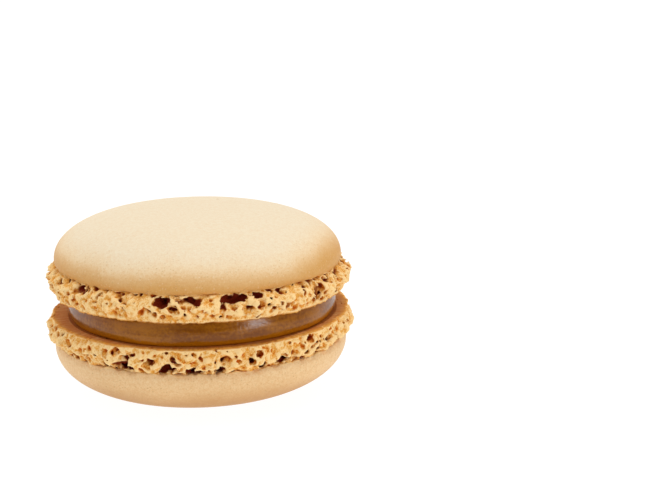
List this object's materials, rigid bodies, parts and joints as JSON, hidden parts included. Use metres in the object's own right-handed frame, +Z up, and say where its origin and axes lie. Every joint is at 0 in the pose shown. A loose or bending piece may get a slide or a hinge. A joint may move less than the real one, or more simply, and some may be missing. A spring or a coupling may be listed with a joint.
{
  "type": "french macaron",
  "caption": "Baked almond sandwich biscuit: smooth domed shells on ruffled porous feet, with a glossy caramel filling between them.",
  "frame": {"origin": "centre of the small flat spot on the bottom shell's crown, which the macaron rests on", "axes": "+Z up through the stack of shells and filling; the side that the picture shows faces -Y, and +X is to its right"},
  "size_m": [0.0467, 0.0469, 0.0274],
  "materials": {
    "bottom_crust": "dull baked almond crust, golden beige, with a porous foot",
    "caramel": "smooth, slightly translucent caramel with a soft sheen",
    "top_crust": "dull baked almond crust, pale cream, with a porous foot"
  },
  "bodies": {
    "root": {"bottom_shell": "bottom_crust", "filling": "caramel", "top_shell": "top_crust"}
  },
  "joints": []
}
